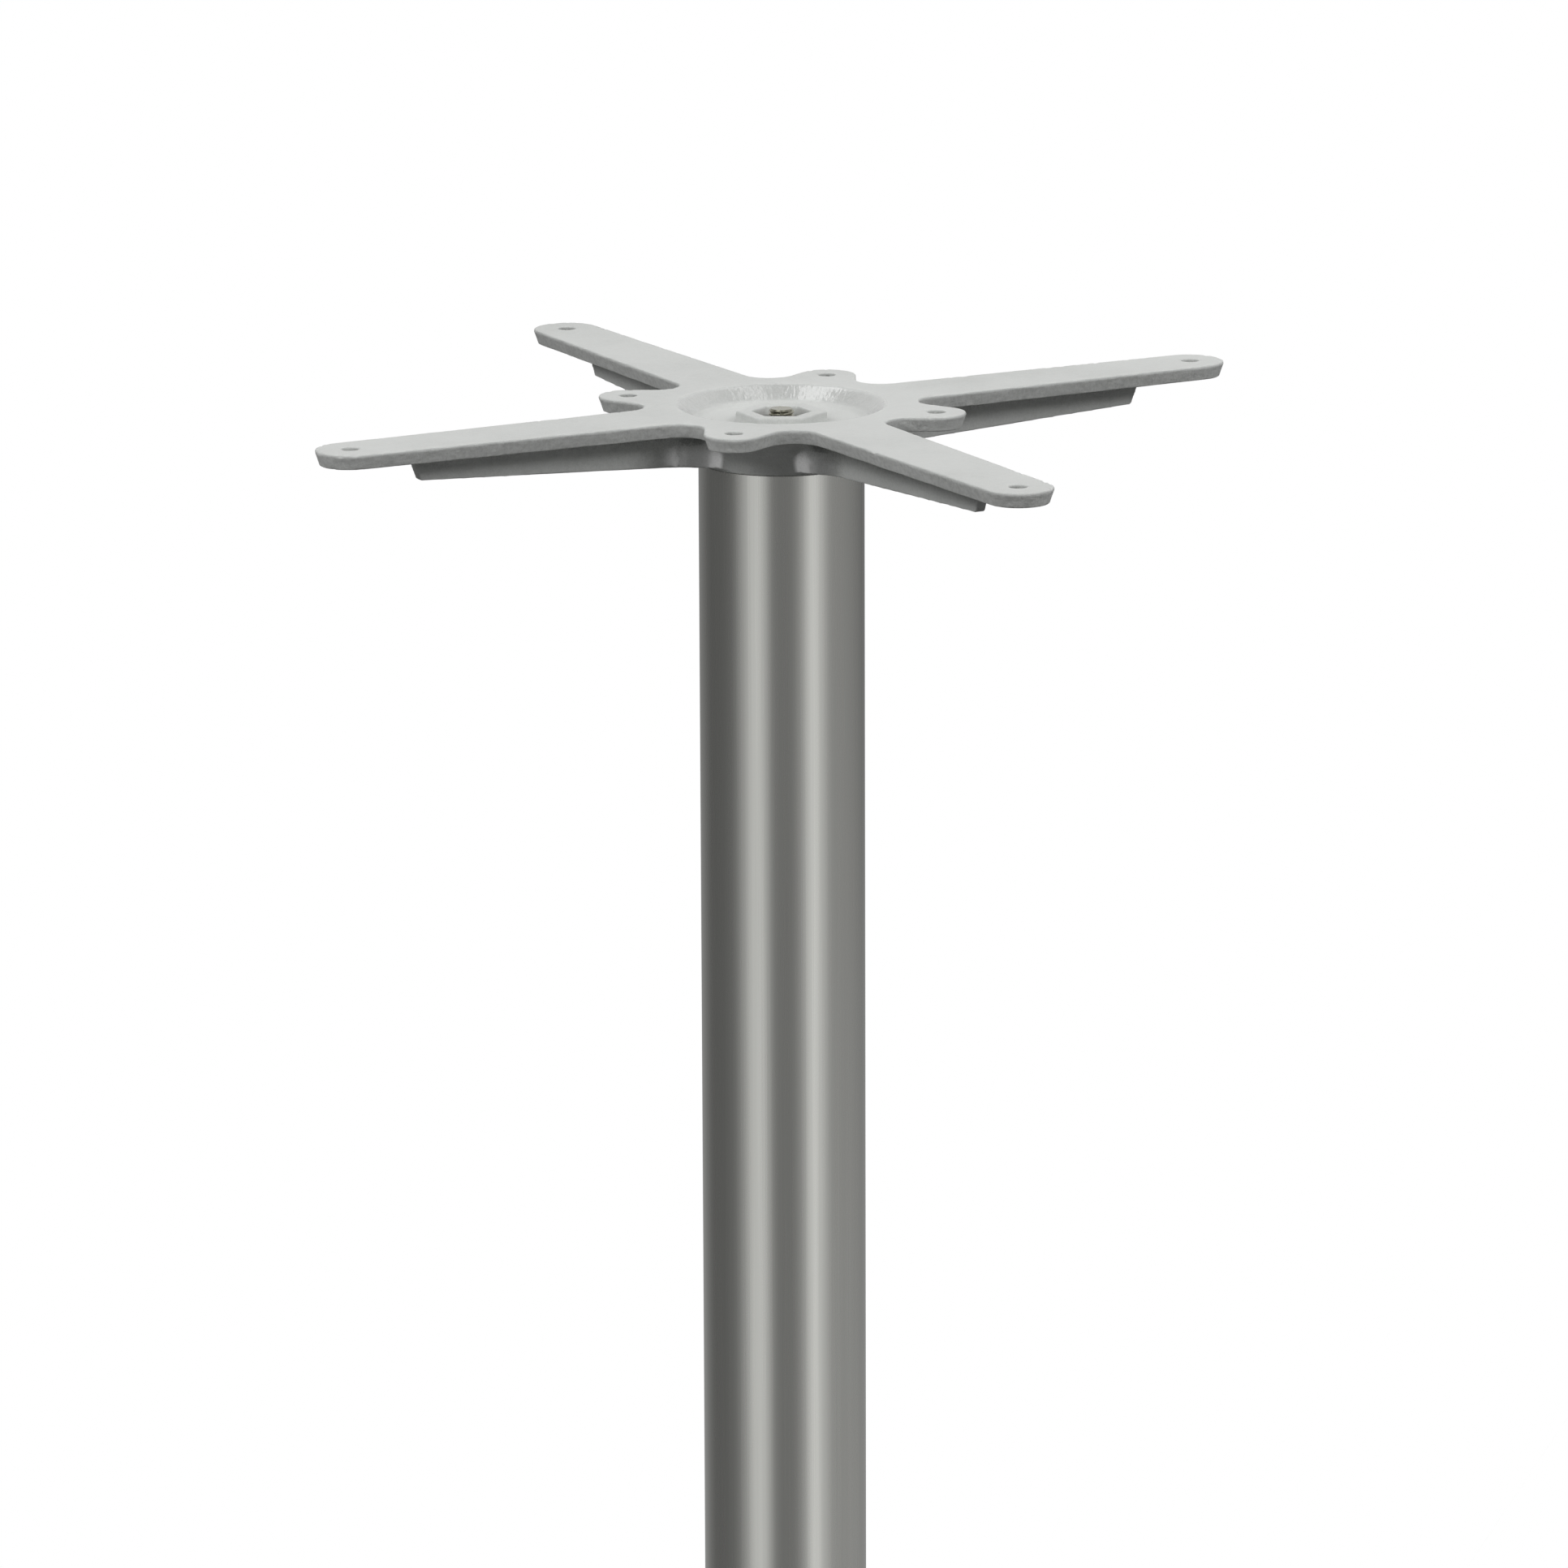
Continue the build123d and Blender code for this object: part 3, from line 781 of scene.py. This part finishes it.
def seen_directly(tree):
    """One for rays from the camera and through glass, nought for light on other pieces."""
    path = add_node(tree, "ShaderNodeLightPath").outputs
    return calc(tree, "MAXIMUM", path["Is Camera Ray"], path["Is Transmission Ray"])


def mix_shaders(tree, share, first, second):
    return add_node(tree, "ShaderNodeMixShader", inputs={0: share, 1: first, 2: second}).outputs["Shader"]


def floor_material():
    material = bpy.data.materials.new("floor_pale")
    material.use_nodes = True
    tree = material.node_tree
    tree.nodes.clear()
    place = object_place(tree)
    paper = noise(tree, place, 3.0, 2.0, 0.5)
    tone = ramp(tree, paper, [(0.3, (0.16, 0.16, 0.16)), (0.7, (0.19, 0.19, 0.19))])
    matt = add_node(tree, "ShaderNodeBsdfDiffuse", inputs={"Color": tone})
    # Painted shadow: the glow darkens with ambient occlusion near the object
    shade = add_node(tree, "ShaderNodeAmbientOcclusion", {"samples": 8}, {"Distance": FLOOR_SHADE_REACH})
    glow = add_node(tree, "ShaderNodeEmission", inputs={"Color": shade.outputs["Color"]})
    share = remap(tree, radius_of(tree, split(tree, place)), FLOOR_NEAR, FLOOR_FAR, FLOOR_GLOW, 1.0)
    share = times(tree, share, seen_directly(tree))
    mixed = mix_shaders(tree, share, matt.outputs["BSDF"], glow.outputs["Emission"])
    output = add_node(tree, "ShaderNodeOutputMaterial")
    link(tree, mixed, output, "Surface")
    return material


half = FLOOR_SIZE / 2
floor_corners = [(-half, -half, 0.0), (half, -half, 0.0), (half, half, 0.0), (-half, half, 0.0)]
floor = new_object("floor", mesh_from("floor", floor_corners, [(0, 1, 2, 3)]))
dress(floor, floor_material())
floor.visible_glossy = False

# World: white to look at, dim grey as light, and a studio's lit walls in reflections
AMBIENT = 0.035
BRIGHTEST = 2.0

# Levels by degrees round from the camera's side, right positive: the walls, then their lower part
WALL_STOPS = [
    (-180, 0.30),
    (-150, 0.22),
    (-120, 0.085),
    (-95, 0.095),
    (-72, 0.155),
    (-54, 0.60),
    (-40, 1.10),
    (-26, 0.72),
    (-14, 0.20),
    (14, 0.185),
    (28, 0.46),
    (42, 1.15),
    (56, 0.74),
    (70, 0.28),
    (110, 0.21),
    (150, 0.14),
    (180, 0.30),
]
WALL_FOOT_STOPS = [
    (-180, 0.40),
    (-150, 0.34),
    (-120, 0.17),
    (-95, 0.19),
    (-72, 0.25),
    (-54, 0.55),
    (-40, 1.12),
    (-26, 0.95),
    (-14, 0.30),
    (14, 0.29),
    (28, 0.50),
    (42, 1.25),
    (56, 0.84),
    (70, 0.52),
    (110, 0.48),
    (150, 0.36),
    (180, 0.40),
]
CEILING_STOPS = [
    (-180, 0.85),
    (-120, 0.60),
    (-80, 0.25),
    (-40, 0.25),
    (60, 0.45),
    (100, 0.65),
    (180, 0.85),
]

# Levels by degrees of tilt to the right from straight up: two lamps overhead
ZENITH_STOPS = [
    (-30, 0.4),
    (-25, 1.6),
    (-12, 1.6),
    (-7, 0.4),
    (9, 0.4),
    (13, 1.2),
    (19, 1.2),
    (24, 0.4),
]

# Levels by degrees of rise: the ground in front and behind
GROUND_FRONT_STOPS = [(-90, 0.10), (-45, 0.08), (-27, 0.10)]
GROUND_BACK_STOPS = [(-90, 0.10), (-45, 0.14), (-27, 0.20)]

# Degrees over which one part passes into the next, by turn and then by rise
BEHIND_TURN = (112, 140)
WALL_FOOT_RISE, WALL_RISE = (-36, -27), (-17, -12)
CEILING_RISE, ZENITH_RISE = (-6, 5), (42, 55)


def level_ramp(tree, share, stops, low, span):
    return ramp(tree, share, [((angle - low) / span, (level / BRIGHTEST,) * 3) for angle, level in stops])


def turn_ramp(tree, turn, stops):
    return level_ramp(tree, calc(tree, "ADD", turn, 0.5), stops, -180, 360)


def rise_ramp(tree, rise, stops):
    share = calc(tree, "ADD", calc(tree, "DIVIDE", rise, pi / 2), 1.0)
    return level_ramp(tree, share, stops, -90, 90)


def mix_colour(tree, share, first, second):
    node = add_node(tree, "ShaderNodeMix", {"data_type": "RGBA"}, {0: share, 6: first, 7: second})
    return node.outputs[2]


def mix_by_rise(tree, rise, span, lower, upper):
    share = remap(tree, rise, radians(span[0]), radians(span[1]), 0.0, 1.0)
    return mix_colour(tree, share, lower, upper)


def whole_turns(tree, across, along):
    return calc(tree, "DIVIDE", calc(tree, "ARCTAN2", across, along), 2 * pi)


def studio_walls(tree):
    """What gloss sees, by direction: two tall soft lights in front, pale walls and ceiling behind."""
    ray = add_node(tree, "ShaderNodeTexCoord").outputs["Generated"]
    dot = {"operation": "DOT_PRODUCT"}
    front = add_node(tree, "ShaderNodeVectorMath", dot, {0: ray, 1: -stage_away}).outputs["Value"]
    right = add_node(tree, "ShaderNodeVectorMath", dot, {0: ray, 1: stage_right}).outputs["Value"]
    height = split(tree, ray)["Z"]
    turn = whole_turns(tree, right, front)
    rise = calc(tree, "ARCSINE", height)

    away = calc(tree, "ABSOLUTE", turn)
    behind = remap(tree, away, BEHIND_TURN[0] / 360, BEHIND_TURN[1] / 360, 0.0, 1.0)
    ground_front = rise_ramp(tree, rise, GROUND_FRONT_STOPS)
    ground_back = rise_ramp(tree, rise, GROUND_BACK_STOPS)
    ground = mix_colour(tree, behind, ground_front, ground_back)
    wall_foot = turn_ramp(tree, turn, WALL_FOOT_STOPS)
    walls = mix_by_rise(tree, rise, WALL_RISE, wall_foot, turn_ramp(tree, turn, WALL_STOPS))
    low = mix_by_rise(tree, rise, WALL_FOOT_RISE, ground, walls)
    upper = mix_by_rise(tree, rise, CEILING_RISE, low, turn_ramp(tree, turn, CEILING_STOPS))
    lamps = turn_ramp(tree, whole_turns(tree, right, height), ZENITH_STOPS)
    return mix_by_rise(tree, rise, ZENITH_RISE, upper, lamps)


def backdrop(tree, colour, strength):
    inputs = {"Color": colour, "Strength": strength}
    return add_node(tree, "ShaderNodeBackground", inputs=inputs).outputs["Background"]


def studio_world():
    world = bpy.data.worlds.new("studio")
    world.use_nodes = True
    tree = world.node_tree
    tree.nodes.clear()
    white = (1.0, 1.0, 1.0, 1.0)
    dim = backdrop(tree, white, AMBIENT)
    plain = mix_shaders(tree, seen_directly(tree), dim, backdrop(tree, white, 1.0))
    walls = backdrop(tree, studio_walls(tree), BRIGHTEST)
    glossy = add_node(tree, "ShaderNodeLightPath").outputs["Is Glossy Ray"]
    output = add_node(tree, "ShaderNodeOutputWorld")
    link(tree, mix_shaders(tree, glossy, plain, walls), output, "Surface")
    return world


scene.world = studio_world()

# Soft lights: two panels overhead, two tall lights and two low fills in front
PANEL_SIZE, TALL_SIZE, LOW_SIZE = (0.7, 1.2), (1.2, 1.0), (0.6, 1.4)


def soft_light(name, place, target, size, power):
    data = bpy.data.lights.new(name, "AREA")
    data.shape = "RECTANGLE"
    data.size = size[0]
    data.size_y = size[1]
    data.energy = power
    lamp = new_object(name, data)
    lamp.visible_glossy = False
    back = (place - target).normalized()
    up = back.cross(stage_right).normalized()
    side = up.cross(back)
    lamp.matrix_world = Matrix.Translation(place) @ Matrix((side, up, back)).transposed().to_4x4()


hub = Vector((0.0, 0.0, TABLE_HEIGHT))
panel_left_target = hub + on_stage(-0.2, 0.2, 0.0)
panel_right_target = hub + on_stage(0.2, 0.2, 0.0)
soft_light("panel_left", on_stage(-0.45, 0.5, 2.25), panel_left_target, PANEL_SIZE, 3.8)
soft_light("panel_right", on_stage(0.45, 0.5, 2.25), panel_right_target, PANEL_SIZE, 5.1)
soft_light("tall_left", on_stage(-1.75, -1.4, 2.65), hub, TALL_SIZE, 30.0)
soft_light("tall_right", on_stage(1.75, -1.4, 2.65), hub, TALL_SIZE, 31.0)
soft_light("low_left", on_stage(-1.9, -1.5, 0.9), hub, LOW_SIZE, 3.2)
soft_light("low_right", on_stage(1.9, -1.5, 0.9), hub, LOW_SIZE, 1.6)

scene.view_settings.view_transform = "Standard"
